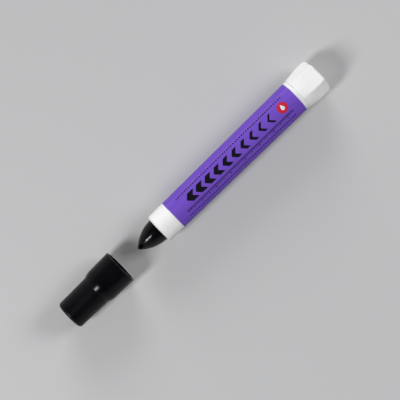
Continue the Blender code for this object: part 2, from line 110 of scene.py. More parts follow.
def rounded_outline(corners):
    """Outline in (x, radius) with a curve at each corner, and the wear along it.

    With unit sides the curve is the rational quadratic through leave, corner and join, weighted by
    the sine of half the corner's angle, which is an arc of a circle where both distances are equal.
    The wear is a parabola over the curve. A guard point on each side keeps the flats evenly shaded.
    """
    rows = np.array(corners, float)
    place = rows[:, :2]
    behind = np.roll(place, 1, axis=0) - place
    ahead = np.roll(place, -1, axis=0) - place
    behind = behind / np.linalg.norm(behind, axis=1, keepdims=True)
    ahead = ahead / np.linalg.norm(ahead, axis=1, keepdims=True)
    weight = np.sin(np.arccos(np.clip((behind * ahead).sum(axis=1), -1, 1)) / 2)[:, None, None]
    leave = place + behind * rows[:, 2:3]
    join = place + ahead * rows[:, 3:4]
    s = np.linspace(0, 1, ARC_STEPS + 1)[None, :, None]
    first, middle, last = (1 - s) ** 2, 2 * weight * s * (1 - s), s**2
    curve = first * leave[:, None] + middle * place[:, None] + last * join[:, None]
    curve = curve / (first + middle + last)
    guards = leave + GUARD * behind, join + GUARD * ahead
    points = np.concatenate([guards[0][:, None], curve, guards[1][:, None]], axis=1)
    wear = np.zeros(points.shape[:2])
    wear[:, 1:-1] = rows[:, 4:5] * (4 * s * (1 - s))[0, :, 0]
    keep = np.ones(points.shape[:2], bool)
    sharp = rows[:, 2] == 0
    keep[sharp] = np.arange(points.shape[1]) == 1
    return points[keep], wear[keep]


def with_ribs(x, radius, angles):
    """Radii of the barrel with its ribs: between their ends, rows on the bore come in to the ribs.

    A rib is where the arc from its middle, the angle times the bore's radius, is under half its width.
    """
    off_rib = np.abs((angles * RIB_COUNT / math.tau + 0.5) % 1 - 0.5) * math.tau / RIB_COUNT
    on_rib = off_rib * BORE_RADIUS < RIB_WIDTH / 2
    on_bore = np.abs(radius - BORE_RADIUS) < RIB_END
    between_ends = (x > RIBS_FROM + RIB_END / 2) & (x < bore_front - RIB_END / 2)
    return np.where(on_rib & on_bore & between_ends, RIB_RADIUS, radius)


def round_the_axis(x, radius, angles):
    """Grid of points at x along the axis and radius from it: y and z are the sine and cosine shares."""
    y = radius * np.sin(angles)
    z = AXIS_HEIGHT + radius * np.cos(angles)
    return np.stack(np.broadcast_arrays(x, y, z), axis=-1)


def finished_piece(name, mesh):
    """Object at the origin from a mesh: doubles merged, faces outwards, smooth but for sharp corners."""
    bm = bmesh.new()
    bm.from_mesh(mesh)
    bmesh.ops.remove_doubles(bm, verts=bm.verts, dist=MERGE_WITHIN)
    bmesh.ops.dissolve_degenerate(bm, edges=bm.edges, dist=NO_LENGTH)
    bmesh.ops.recalc_face_normals(bm, faces=bm.faces)
    bm.to_mesh(mesh)
    bm.free()
    mesh.shade_smooth()
    mesh.set_sharp_from_angle(angle=SHARP_ANGLE)
    piece = bpy.data.objects.new(name, mesh)
    bpy.context.scene.collection.objects.link(piece)
    return piece


def skin(name, grid, marks, closed_rows=False):
    """Piece over a grid of points: each quad joins four neighbours, round in columns.

    The last row joins the first if the rows are closed. marks are named values at the grid's points,
    which the finishes read as attributes. Points that fall together, as on the axis, are merged.
    """
    count, across = grid.shape[:2]
    i = np.arange(count if closed_rows else count - 1)[:, None]
    j = np.arange(across)[None, :]
    i_next, j_next = (i + 1) % count, (j + 1) % across
    quads = [i * across + j, i_next * across + j, i_next * across + j_next, i * across + j_next]
    quads = np.stack(quads, axis=-1).reshape(-1, 4)
    mesh = bpy.data.meshes.new(name)
    mesh.from_pydata(grid.reshape(-1, 3).tolist(), [], quads.tolist())
    for mark, values in marks.items():
        layer = mesh.attributes.new(mark, "FLOAT", "POINT")
        layer.data.foreach_set("value", np.broadcast_to(values, (count, across)).ravel())
    return finished_piece(name, mesh)


def shader_node(tree, kind, values, **settings):
    """A node with its settings, each of its inputs set to a value or linked to another's output."""
    made = tree.nodes.new(kind)
    for name, value in settings.items():
        setattr(made, name, value)
    for name, value in values.items():
        if isinstance(value, bpy.types.NodeSocket):
            tree.links.new(value, made.inputs[name])
        else:
            made.inputs[name].default_value = value
    return made


def reckon(tree, operation, *terms):
    """Output of a Math node whose terms are numbers or other nodes' outputs."""
    return shader_node(tree, "ShaderNodeMath", dict(enumerate(terms)), operation=operation).outputs[0]


def noise(tree, vector, scale, detail, roughness):
    """Output of a Noise node in three dimensions."""
    values = {"Vector": vector, "Scale": scale, "Detail": detail, "Roughness": roughness}
    return shader_node(tree, "ShaderNodeTexNoise", values).outputs[0]


def ramp(tree, value, low, high, to_low=0.0, to_high=1.0):
    """Value carried from the span low..high to the span to_low..to_high, smoothly and clamped."""
    values = {"Value": value, "From Min": low, "From Max": high, "To Min": to_low, "To Max": to_high}
    made = shader_node(tree, "ShaderNodeMapRange", values, interpolation_type="SMOOTHSTEP")
    return made.outputs[0]


# Where a Mix node has its two colours among its inputs, and their blend among its outputs
MIX_COLOURS = 6, 7
MIX_BLEND = 2


def mix_colour(tree, share, colour, other):
    """Colour blended towards the other by the share, each a colour or another node's output."""
    made = shader_node(tree, "ShaderNodeMix", {"Factor": share}, data_type="RGBA")
    for index, value in zip(MIX_COLOURS, (colour, other)):
        if isinstance(value, bpy.types.NodeSocket):
            tree.links.new(value, made.inputs[index])
        else:
            made.inputs[index].default_value = (*value, 1.0)
    return made.outputs[MIX_BLEND]


def shader_group(name, numbers, results):
    """A node group from a Vector and named numbers to named results, with its two rows of sockets."""
    group = bpy.data.node_groups.new(name, "ShaderNodeTree")
    group.interface.new_socket("Vector", in_out="INPUT", socket_type="NodeSocketVector")
    for label in numbers:
        group.interface.new_socket(label, in_out="INPUT", socket_type="NodeSocketFloat")
    for label in results:
        group.interface.new_socket(label, in_out="OUTPUT", socket_type="NodeSocketFloat")
    return group, group.nodes.new("NodeGroupInput").outputs, group.nodes.new("NodeGroupOutput").inputs


FLOW_STRETCH = (0.25, 1.0, 1.0)
PATCH_SCALE = 900.0
SCUFF_TURN = (0.0, 0.0, math.radians(24.0))
SCUFF_STRETCH = (0.06, 1.0, 1.0)
SCUFF_FIELD_SCALE = 160.0


def make_mould_texture():
    """Group: fine grain left by a sandblasted mould, and slow flow marks of the melt along the axis."""
    numbers, results = ("Grain Scale", "Flow Scale"), ("Grain", "Flow")
    tree, given, result = shader_group("mould_texture", numbers, results)
    grain = noise(tree, given["Vector"], given["Grain Scale"], detail=3.0, roughness=0.65)
    values = {"Vector": given["Vector"], "Scale": FLOW_STRETCH}
    along = shader_node(tree, "ShaderNodeMapping", values).outputs[0]
    flow = noise(tree, along, given["Flow Scale"], detail=4.0, roughness=0.55)
    tree.links.new(grain, result["Grain"])
    tree.links.new(ramp(tree, flow, low=0.3, high=0.7), result["Flow"])
    return tree


def make_handling():
    """Group: rubbed edges, where the wear mark meets a patchy noise, and fine hairline scuffs."""
    numbers, results = ("Edge", "Scuff Scale"), ("Rubbed", "Scuffed")
    tree, given, result = shader_group("handling", numbers, results)
    patches = noise(tree, given["Vector"], PATCH_SCALE, detail=4.0, roughness=0.6)
    rubbed = reckon(tree, "MULTIPLY", given["Edge"], ramp(tree, patches, low=0.38, high=0.62))
    values = {"Vector": given["Vector"], "Rotation": SCUFF_TURN, "Scale": SCUFF_STRETCH}
    turned = shader_node(tree, "ShaderNodeMapping", values).outputs[0]
    lines = noise(tree, turned, given["Scuff Scale"], detail=2.0, roughness=0.5)
    field = noise(tree, given["Vector"], SCUFF_FIELD_SCALE, detail=2.0, roughness=0.5)
    lines = ramp(tree, lines, low=0.62, high=0.70)
    scuffed = reckon(tree, "MULTIPLY", lines, ramp(tree, field, low=0.50, high=0.64))
    tree.links.new(rubbed, result["Rubbed"])
    tree.links.new(scuffed, result["Scuffed"])
    return tree


mould_texture = make_mould_texture()
handling = make_handling()


def finish_base(name):
    """A new material, with its node tree, its shader and the piece's own coordinates."""
    material = bpy.data.materials.new(name)
    material.use_nodes = True
    tree = material.node_tree
    place = tree.nodes.new("ShaderNodeTexCoord").outputs["Object"]
    return material, tree, tree.nodes["Principled BSDF"], place


def read_mark(tree, name):
    """Output with the values that the piece's points carry under a name."""
    return shader_node(tree, "ShaderNodeAttribute", {}, attribute_name=name).outputs["Fac"]


def surface_detail(tree, place, edge, grain_scale, flow_scale, scuff_scale):
    """Grain, flow marks, rubbed edges and scuffs of a piece, from the two groups."""
    values = {"Vector": place, "Grain Scale": grain_scale, "Flow Scale": flow_scale}
    mould = shader_node(tree, "ShaderNodeGroup", values, node_tree=mould_texture).outputs
    values = {"Vector": place, "Edge": edge, "Scuff Scale": scuff_scale}
    hand = shader_node(tree, "ShaderNodeGroup", values, node_tree=handling).outputs
    return mould["Grain"], mould["Flow"], hand["Rubbed"], hand["Scuffed"]


def raise_surface(tree, shader, height, depth):
    """Bump the shader's surface by a height, of which 1 is the depth in metres."""
    values = {"Height": height, "Distance": depth, "Strength": 1.0}
    bump = shader_node(tree, "ShaderNodeBump", values)
    tree.links.new(bump.outputs[0], shader.inputs["Normal"])


RUBBED_SHOWS = 0.7
GRAIN_DULLS, SCUFFS_DULL = 0.6, 0.5
DULL_FROM, DULL_TO = 0.2, 0.8


def moulded_plastic(name, colours, roughness, shine, grain_scale, grain_depth):
    """Moulded plastic: flow marks shift its colour, edges are rubbed, grain and scuffs dull it.

    colours are its own, that of its flow marks and that of its rubbed edges. roughness is that of its
    smoothest and of its dullest spots, and shine is the strength of its reflections.
    """
    material, tree, shader, place = finish_base(name)
    edge = read_mark(tree, "edge")
    detail = surface_detail(tree, place, edge, grain_scale, flow_scale=260.0, scuff_scale=5200.0)
    grain, flow, rubbed, scuffed = detail
    colour, shade, worn = colours
    base = mix_colour(tree, flow, colour, shade)
    base = mix_colour(tree, reckon(tree, "MULTIPLY", rubbed, RUBBED_SHOWS), base, worn)
    tree.links.new(base, shader.inputs["Base Color"])
    dull = reckon(tree, "MULTIPLY", scuffed, SCUFFS_DULL)
    dull = reckon(tree, "MULTIPLY_ADD", grain, GRAIN_DULLS, dull)
    tree.links.new(ramp(tree, dull, DULL_FROM, DULL_TO, *roughness), shader.inputs["Roughness"])
    shader.inputs["Specular IOR Level"].default_value = shine
    raise_surface(tree, shader, reckon(tree, "SUBTRACT", grain, scuffed), grain_depth)
    return material


def dress(piece, material, body, node):
    """Give a piece its finish, the body that it moves with and the CAD node that it stands for."""
    piece.data.materials.append(material)
    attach(piece, body)
    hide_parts(node)


barrel_outline, barrel_wear = rounded_outline([
    corner_at(0.0, barrel_radius(0.0), REAR_EDGE, wear=0.3),
    corner_at(REAR_BAND, barrel_radius(REAR_BAND), BAND_EDGE),
    corner_at(REAR_BAND, barrel_radius(REAR_BAND) - LABEL_RECESS),
    corner_at(label_front, barrel_radius(label_front) - LABEL_RECESS),
    corner_at(label_front, barrel_radius(label_front), BAND_EDGE),
    corner_at(BARREL_LENGTH, barrel_radius(BARREL_LENGTH), NOSE_ROUND, NOSE_ROUND_FACE, wear=0.6),
    corner_at(BARREL_LENGTH, GUIDE_RADIUS, GUIDE_EDGE, wear=0.3),
    corner_at(guide_rear, GUIDE_RADIUS),
    corner_at(bore_front, BORE_RADIUS),
    corner_at(bore_front - RIB_END, BORE_RADIUS),
    corner_at(RIBS_FROM + RIB_END, BORE_RADIUS),
    corner_at(RIBS_FROM, BORE_RADIUS),
    corner_at(GROOVE_TO, BORE_RADIUS),
    corner_at(GROOVE_TO - GROOVE_DEPTH, BORE_RADIUS + GROOVE_DEPTH),
    corner_at(GROOVE_FROM + GROOVE_DEPTH, BORE_RADIUS + GROOVE_DEPTH),
    corner_at(GROOVE_FROM, BORE_RADIUS),
    corner_at(0.0, BORE_RADIUS, BORE_EDGE),
])
turn_angles = np.linspace(0, math.tau, TURN_STEPS, endpoint=False)
barrel_x, barrel_r = barrel_outline[:, :1], barrel_outline[:, 1:]
barrel_r = with_ribs(barrel_x, barrel_r, turn_angles)
barrel_grid = round_the_axis(BARREL_REAR + barrel_x, barrel_r, turn_angles)
barrel_shell = skin("barrel_shell", barrel_grid, {"edge": barrel_wear[:, None]}, closed_rows=True)
barrel_white = moulded_plastic(
    "barrel_white",
    colours=(WHITE, WHITE_SHADE, WHITE_WORN),
    roughness=(0.36, 0.50),
    shine=0.25,
    grain_scale=5200.0,
    grain_depth=0.000004,
)
dress(barrel_shell, barrel_white, "barrel", "barrel")


# Label film
# A printed purple polypropylene film, rolled once round the barrel in its recess. Its end overlaps
# its start at a seam a little to the left of the face, and it was rolled on slightly askew.

FACING = math.radians(4.0)
film_low, film_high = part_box("label_film")
FILM_REACH = 0.00014
FILM_REAR, FILM_FRONT = film_low.x - FILM_REACH, film_high.x + FILM_REACH
FILM_THICKNESS = 0.00008
FILM_FLOAT = 0.00001
FILM_SEAM = math.radians(-37.0)
FILM_OVERLAP = math.radians(14.0)
FILM_SKEW = 0.00010
SEAM_RISE = math.radians(4.0)
FILM_STEPS = 300
FILM_ROWS = 24
FILM_RIM = 0.00020
FILM_RIM_ROWS = 6
PURPLE = (0.176, 0.084, 0.552)
PURPLE_DEEP = (0.162, 0.074, 0.520)
PURPLE_RIM = (0.300, 0.230, 0.560)
INK = (0.006, 0.005, 0.010)
RED = (0.560, 0.022, 0.050)
PAPER_WHITE = (0.800, 0.790, 0.800)
FILM_DULL_FROM, FILM_DULL_TO = 0.3, 0.9
FILM_ROUGHNESS = 0.42, 0.58
FILM_SHINE = 0.10
FILM_GRAIN_DEPTH = 0.000005
INK_RISE = 0.2

film_start = FILM_SEAM + FILM_OVERLAP
film_turn = math.tau + FILM_OVERLAP
film_wound = np.linspace(0, film_turn, FILM_STEPS + 1)[:, None]
film_rim_rows = FILM_RIM * np.arange(FILM_RIM_ROWS) / (FILM_FRONT - FILM_REAR)
film_between = np.linspace(0, 1, FILM_ROWS)[1:-1]
film_along = np.concatenate([film_rim_rows, film_between, 1 - film_rim_rows[::-1]])[None, :]


def film_surface(lift):
    """Points of the rolled film: wound by the turn w, it has slid back by the skew's share of w.

    Its radius is the recess's plus lift, plus a thickness where it has climbed over its own start.
    """
    share = film_wound / film_turn
    rear = FILM_REAR + FILM_SKEW * (1 - share)
    front = FILM_FRONT - FILM_SKEW * share
    x = rear + (front - rear) * film_along
    climb = np.clip((film_wound - math.tau + SEAM_RISE) / SEAM_RISE, 0, 1)
    climb = climb * climb * (3 - 2 * climb)
    radius = barrel_radius(x - BARREL_REAR) - FILM_THICKNESS + lift
    radius = radius + (FILM_THICKNESS + FILM_FLOAT) * climb
    return x, round_the_axis(x, radius, film_start - film_wound)


def both_faces(values):
    """Values of the film's outside repeated for its inside and for its two cut ends."""
    loop = np.concatenate([values, values[:, ::-1]], axis=1)
    return np.concatenate([loop[:1], loop, loop[-1:]])


film_x, film_outside = film_surface(FILM_THICKNESS)
film_inside = film_surface(0.0)[1]
film_middle = (film_outside + film_inside) / 2
film_grid = np.concatenate([film_outside, film_inside[:, ::-1]], axis=1)
film_cuts = np.concatenate([film_middle, film_middle[:, ::-1]], axis=1)
film_grid = np.concatenate([film_cuts[:1], film_grid, film_cuts[-1:]])
off_face = (film_start - FACING + math.tau - film_wound) * REAR_RADIUS
from_ends = np.minimum(film_along, 1 - film_along) * (FILM_FRONT - FILM_REAR)
from_seam = (film_turn - film_wound) * REAR_RADIUS
film_marks = {
    "along": both_faces(film_x - FILM_REAR),
    "around": both_faces(np.broadcast_to(off_face, film_x.shape)),
    "edge": both_faces(np.exp(-np.minimum(from_ends, from_seam) / FILM_RIM)),
}
label_wrap = skin("label_wrap", film_grid, film_marks)

PRINT_MIDDLE = -0.0004
CHEVRONS = 10
CHEVRON_PITCH = 0.0060
CHEVRONS_FROM = 0.0180
CHEVRON_SLOPE = 0.9
CHEVRON_HALF = 0.0027
CHEVRON_THIN, CHEVRON_THICK = 0.24, 0.70
DISC_ALONG = 0.0090
DISC_RADIUS = 0.0030
DROP_RADIUS = 0.00105
DROP_SINK = 0.00040
DROP_POINT = 0.00190
DROP_TAPER = 0.52
SCALE_FROM, SCALE_TO = 0.0060, 0.0800
SCALE_LINE = 0.0042
LINE_WIDTH = 0.00030
# Pitch, inked share of the pitch and length of the ticks at ones, fives and tens of millimetres
TICKS = ((0.0010, 0.40, 0.0010), (0.0050, 0.08, 0.0015), (0.0100, 0.045, 0.0020))
DASH_ROWS = (-0.0056, 0.0074)
DASH_PITCH = 0.0015
DASH_SHARE = 0.55
DASH_HEIGHT = 0.0008


def joined_masks(tree, operation, masks):
    """Masks taken together one after another by an operation."""
    joined = masks[0]
    for mask in masks[1:]:
        joined = reckon(tree, operation, joined, mask)
    return joined


def every(tree, *masks):
    """Mask that is 1 where all of the masks are: their product."""
    return joined_masks(tree, "MULTIPLY", masks)


def either(tree, *masks):
    """Mask that is 1 where any of the masks is: the largest of them."""
    return joined_masks(tree, "MAXIMUM", masks)


def between(tree, value, low, high):
    """Mask that is 1 where the value lies between low and high."""
    return every(tree, reckon(tree, "GREATER_THAN", value, low), reckon(tree, "LESS_THAN", value, high))


def chevron_mask(tree, along, around):
    """Row of chevrons that point at the nose and grow thicker towards it.

    along plus the slope times the distance from the middle line, in pitches, counts the chevrons:
    the whole part is the chevron's number and the rest is its share of the pitch.
    """
    fold = reckon(tree, "ABSOLUTE", reckon(tree, "SUBTRACT", around, PRINT_MIDDLE))
    slant = reckon(tree, "MULTIPLY_ADD", fold, CHEVRON_SLOPE, along)
    count = reckon(tree, "DIVIDE", reckon(tree, "SUBTRACT", slant, CHEVRONS_FROM), CHEVRON_PITCH)
    growth = (CHEVRON_THICK - CHEVRON_THIN) / (CHEVRONS - 1)
    filled = reckon(tree, "MULTIPLY_ADD", reckon(tree, "FLOOR", count), growth, CHEVRON_THIN)
    bar = reckon(tree, "LESS_THAN", reckon(tree, "FRACT", count), filled)
    in_height = reckon(tree, "LESS_THAN", fold, CHEVRON_HALF)
    return every(tree, bar, in_height, between(tree, count, 0.0, CHEVRONS))


def repeated_mask(tree, along, pitch, share):
    """Marks that fill the first share of every pitch."""
    return reckon(tree, "LESS_THAN", reckon(tree, "FRACT", reckon(tree, "DIVIDE", along, pitch)), share)


def scale_mask(tree, along, around):
    """Ruled scale: a base line with ticks, longer at every fifth and tenth."""
    below = reckon(tree, "SUBTRACT", around, SCALE_LINE)
    marks = [between(tree, below, -LINE_WIDTH, 0.0)]
    for pitch, share, length in TICKS:
        tick = repeated_mask(tree, along, pitch, share)
        marks.append(every(tree, tick, between(tree, below, 0.0, length)))
    return every(tree, either(tree, *marks), between(tree, along, SCALE_FROM, SCALE_TO))


def dash_mask(tree, along, around):
    """Dashed lines along the label, one in each row."""
    dash = repeated_mask(tree, along, DASH_PITCH, DASH_SHARE)
    rows = [between(tree, around, row, row + DASH_HEIGHT) for row in DASH_ROWS]
    return every(tree, dash, either(tree, *rows), between(tree, along, SCALE_FROM, SCALE_TO))


def drop_masks(tree, along, around):
    """A disc, and in it a drop: a circle whose top narrows in straight sides to a point."""
    across = reckon(tree, "SUBTRACT", along, DISC_ALONG)
    down = reckon(tree, "SUBTRACT", around, PRINT_MIDDLE)
    square = reckon(tree, "MULTIPLY", across, across)
    disc = reckon(tree, "LESS_THAN", reckon(tree, "MULTIPLY_ADD", down, down, square), DISC_RADIUS**2)
    sunk = reckon(tree, "SUBTRACT", down, DROP_SINK)
    bowl = reckon(tree, "LESS_THAN", reckon(tree, "MULTIPLY_ADD", sunk, sunk, square), DROP_RADIUS**2)
    half_width = reckon(tree, "MULTIPLY", reckon(tree, "ADD", down, DROP_POINT), DROP_TAPER)
    neck = reckon(tree, "LESS_THAN", reckon(tree, "ABSOLUTE", across), half_width)
    upper = reckon(tree, "LESS_THAN", down, 0.0)
    return disc, either(tree, bowl, every(tree, neck, upper))


def printed_film():
    """Glossy printed film: ink masks over a slightly uneven purple, pale cut rims, faint orange peel."""
    material, tree, shader, place = finish_base("purple_film")
    along, around, edge = (read_mark(tree, name) for name in ("along", "around", "edge"))
    detail = surface_detail(tree, place, edge, grain_scale=1500.0, flow_scale=420.0, scuff_scale=6000.0)
    grain, flow, rubbed, scuffed = detail
    ink = either(tree, *(mask(tree, along, around) for mask in (chevron_mask, scale_mask, dash_mask)))
    disc, drop = drop_masks(tree, along, around)
    base = mix_colour(tree, flow, PURPLE, PURPLE_DEEP)
    for share, colour in ((rubbed, PURPLE_RIM), (ink, INK), (disc, RED), (drop, PAPER_WHITE)):
        base = mix_colour(tree, share, base, colour)
    tree.links.new(base, shader.inputs["Base Color"])
    dull = reckon(tree, "MULTIPLY_ADD", scuffed, SCUFFS_DULL, grain)
    roughness = ramp(tree, dull, FILM_DULL_FROM, FILM_DULL_TO, *FILM_ROUGHNESS)
    tree.links.new(roughness, shader.inputs["Roughness"])
    shader.inputs["Specular IOR Level"].default_value = FILM_SHINE
    raise_surface(tree, shader, reckon(tree, "MULTIPLY_ADD", ink, INK_RISE, grain), FILM_GRAIN_DEPTH)
    return material


dress(label_wrap, printed_film(), "barrel", "label_film")


# Twist knob
# The six-sided knob that winds the stick, moulded in white polypropylene and snapped into the barrel
# by its neck. Its flats run out into the round at the barrel, and its end edge is well rounded.

knob_low, knob_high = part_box("twist_knob")
KNOB_END = knob_low.x
NECK_END = knob_high.x
KNOB_STAND_OFF = 0.0003
KNOB_SHOULDER = BARREL_REAR - KNOB_STAND_OFF
KNOB_SEAM = 0.00006
KNOB_FRONT = BARREL_REAR - KNOB_SEAM
KNOB_SIDES = 6
KNOB_CORNER_RADIUS = (knob_high.y - knob_low.y) / 2
KNOB_CORNER = 0.0008
KNOB_EDGE = 0.0021
KNOB_FLARE_LENGTH = 0.0082
KNOB_FLARE_EASE = 1.3
KNOB_SEAM_FLARE = 0.00025
KNOB_SEAM_EDGE = 0.00014
NECK_RADIUS = 0.0069
NECK_LEAD = 0.0006
SEAL_GROOVE_RADIUS = 0.0053
SEAL_GROOVE_FROM, SEAL_GROOVE_TO = 0.00165, 0.00355
BEAD_FROM, BEAD_TO = 0.0058, 0.0070
BEAD_HEIGHT = 0.0004
SOCKET_RADIUS = 0.00335
SOCKET_CORNER = 0.0002
SOCKET_DEPTH = 0.0093
GATE_RADIUS = 0.0011
GATE_DEPTH = 0.00018
GATE_FIELD = 0.00165
GATE_ROWS = 10
FLAT_STEPS = 24
CORNER_STEPS = 8
KNOB_END_WEAR, KNOB_SEAM_WEAR, KNOB_CORNER_WEAR = 0.5, 0.3, 0.8
KNOB_WEAR_FADE = 0.02
KNOB_WHITE = (0.945, 0.945, 0.940)
KNOB_SHADE = (0.925, 0.925, 0.920)
half_side = math.pi / KNOB_SIDES


def flat_distance(corner_radius, rounding):
    """Distance of the flats from the axis, where the rounded corners reach the corner radius."""
    return (corner_radius - rounding) * math.cos(half_side) + rounding


def flat_reach(flat, rounding):
    """Angle from the middle of a flat to where its rounded corner begins."""
    return math.atan((flat - rounding) * math.tan(half_side) / flat)


def off_flat(angles, turn):
    """Angle off the middle of the nearest flat, where one flat faces the angle turn."""
    return np.abs((angles - turn + half_side) % (2 * half_side) - half_side)


def six_sided(angles, flat, rounding, turn):
    """Distance from the axis to a six-sided outline with rounded corners.

    Over a flat it is the flat's distance over the cosine of the angle off its middle. Over a corner it
    is the far crossing of the ray with the corner's circle.
    """
    off_middle = off_flat(angles, turn)
    off_corner = half_side - off_middle
    centre = (flat - rounding) / math.cos(half_side)
    chord = np.sqrt(np.maximum(rounding**2 - (centre * np.sin(off_corner)) ** 2, 0))
    arc = centre * np.cos(off_corner) + chord
    return np.where(off_middle <= flat_reach(flat, rounding), flat / np.cos(off_middle), arc)


knob_flat = flat_distance(KNOB_CORNER_RADIUS, KNOB_CORNER)
knob_reach = flat_reach(knob_flat, KNOB_CORNER)
over_flat = np.linspace(-knob_reach, knob_reach, FLAT_STEPS, endpoint=False)
over_corner = np.linspace(knob_reach, 2 * half_side - knob_reach, CORNER_STEPS, endpoint=False)
side_angles = np.arange(KNOB_SIDES)[:, None] * 2 * half_side
knob_angles = (side_angles + np.concatenate([over_flat, over_corner])).ravel()
groove_rear, groove_front = KNOB_SHOULDER + SEAL_GROOVE_FROM, KNOB_SHOULDER + SEAL_GROOVE_TO
bead_rear, bead_front = KNOB_SHOULDER + BEAD_FROM, KNOB_SHOULDER + BEAD_TO
neck_outline = rounded_outline([
    corner_at(KNOB_FRONT, NECK_RADIUS),
    corner_at(groove_rear, NECK_RADIUS),
    corner_at(groove_rear, SEAL_GROOVE_RADIUS),
    corner_at(groove_front, SEAL_GROOVE_RADIUS),
    corner_at(groove_front, NECK_RADIUS),
    corner_at(bead_rear, NECK_RADIUS),
    corner_at(bead_rear + BEAD_HEIGHT, NECK_RADIUS + BEAD_HEIGHT),
    corner_at(bead_front - BEAD_HEIGHT, NECK_RADIUS + BEAD_HEIGHT),
    corner_at(bead_front, NECK_RADIUS),
    corner_at(NECK_END - NECK_LEAD, NECK_RADIUS),
    corner_at(NECK_END, NECK_RADIUS - NECK_LEAD),
])[0]


def knob_rows():
    """The knob from the middle of its end to the bottom of its socket, as rows of x, radius and wear.

    The grip is the six-sided outline less a quarter circle at the end edge. Over the flare its share s
    turns it towards the round by s to the power of the ease, and a trace of the six sides is left at
    the seam, where a small quarter circle ends it. The neck is turned, and the socket is six-sided.
    """
    six = six_sided(knob_angles, knob_flat, KNOB_CORNER, 0.0)[None, :]
    seam_six = REAR_RADIUS + (six - REAR_RADIUS) * KNOB_SEAM_FLARE / (KNOB_CORNER_RADIUS - REAR_RADIUS)
    socket_flat = flat_distance(SOCKET_RADIUS, SOCKET_CORNER)
    socket = six_sided(knob_angles, socket_flat, SOCKET_CORNER, half_side)[None, :]
    socket_floor = NECK_END - SOCKET_DEPTH
    face = np.append(np.linspace(0, GATE_FIELD, GATE_ROWS), knob_flat / 2)[:, None]
    dip = GATE_DEPTH * np.clip(1 - (face / GATE_RADIUS) ** 2, 0, 1)
    turn = np.linspace(0, math.pi / 2, 2 * ARC_STEPS)[:, None]
    edge_x = KNOB_END + KNOB_EDGE * (1 - np.cos(turn))
    edge_r = six - KNOB_EDGE * (1 - np.sin(turn))
    share = np.linspace(0, 1, 4 * ARC_STEPS)[:, None]
    flare_rear = KNOB_SHOULDER - KNOB_FLARE_LENGTH
    flare_front = KNOB_FRONT - KNOB_SEAM_EDGE
    flare_x = flare_rear + (flare_front - flare_rear) * share
    flare_r = six + (seam_six - six) * share**KNOB_FLARE_EASE
    seam_x = flare_front + KNOB_SEAM_EDGE * np.sin(turn)
    seam_r = seam_six - KNOB_SEAM_EDGE * (1 - np.cos(turn))
    blocks = [
        (KNOB_END + dip, face + 0 * six, 0.0),
        (edge_x, edge_r, KNOB_END_WEAR * np.sin(2 * turn)),
        (flare_x, flare_r, 0.0),
        (seam_x, seam_r, KNOB_SEAM_WEAR * np.sin(2 * turn)),
        (neck_outline[:, :1], neck_outline[:, 1:] + 0 * six, 0.0),
        (np.full((2, 1), NECK_END), np.concatenate([socket + SOCKET_CORNER, socket]), 0.0),
        (np.full((2, 1), socket_floor), np.concatenate([socket, 0 * socket]), 0.0),
    ]
    x = np.concatenate([block[0] for block in blocks])
    radius = np.concatenate([block[1] for block in blocks])
    wear = np.concatenate([np.broadcast_to(block[2], block[1].shape) for block in blocks])
    return x, radius, wear


knob_x, knob_r, knob_wear = knob_rows()
at_corner = np.clip((off_flat(knob_angles, 0.0) - knob_reach) / KNOB_WEAR_FADE, 0, 1)
on_grip = (knob_x > KNOB_END + KNOB_EDGE / 2) & (knob_x < KNOB_SHOULDER - KNOB_FLARE_LENGTH / 2)
knob_wear = np.maximum(knob_wear, KNOB_CORNER_WEAR * at_corner * on_grip)
knob_grip = skin("knob_grip", round_the_axis(knob_x, knob_r, knob_angles), {"edge": knob_wear})
knob_white = moulded_plastic(
    "knob_white",
    colours=(KNOB_WHITE, KNOB_SHADE, WHITE_WORN),
    roughness=(0.34, 0.48),
    shine=0.25,
    grain_scale=4600.0,
    grain_depth=0.000005,
)
dress(knob_grip, knob_white, "knob", "twist_knob")


# Seal ring
# A black rubber ring in the neck's groove, which keeps the paint from drying out past the knob.
# It is moulded, with a faint bloom on the rubber, and lies hidden inside the barrel.

RUBBER = (0.016, 0.016, 0.017)
RUBBER_BLOOM = (0.040, 0.040, 0.042)


def redress(node, material):
    """Give a CAD node that stays in the picture its finish."""
    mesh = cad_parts[node].data
    mesh.materials.clear()
    mesh.materials.append(material)


seal_rubber = moulded_plastic(
    "seal_rubber",
    colours=(RUBBER, RUBBER_BLOOM, RUBBER_BLOOM),
    roughness=(0.5, 0.75),
    shine=0.4,
    grain_scale=3800.0,
    grain_depth=0.000006,
)
redress("seal_ring", seal_rubber)


# Feed screw
# The coarse left-handed screw that the knob turns, moulded in uncoloured acetal. Its six-sided plug
# is pressed into the knob's socket and its thread runs through the carrier.

ACETAL = (0.730, 0.725, 0.690)
ACETAL_SHADE = (0.680, 0.672, 0.630)
ACETAL_WORN = (0.770, 0.760, 0.730)
screw_acetal = moulded_plastic(
    "screw_acetal",
    colours=(ACETAL, ACETAL_SHADE, ACETAL_WORN),
    roughness=(0.32, 0.50),
    shine=0.5,
    grain_scale=3200.0,
    grain_depth=0.000005,
)
redress("feed_screw", screw_acetal)


# Stick carrier
# The nut that rides on the screw, a moulded polypropylene cup that holds the stick's foot. Notches
# in its rim run on the barrel's ribs, so it slides and doesn't turn.

CARRIER_WHITE = (0.780, 0.780, 0.765)
CARRIER_SHADE = (0.730, 0.730, 0.715)
carrier_white = moulded_plastic(
    "carrier_white",
    colours=(CARRIER_WHITE, CARRIER_SHADE, WHITE_WORN),
    roughness=(0.34, 0.52),
    shine=0.4,
    grain_scale=3600.0,
    grain_depth=0.000005,
)
redress("stick_carrier", carrier_white)


# Paint stick
# Solid paint cast as a waxy black rod round the screw, with a bullet point. It slides out of the
# nose as the knob is turned; its skin is smooth and a little greasy, with faint drag lines.

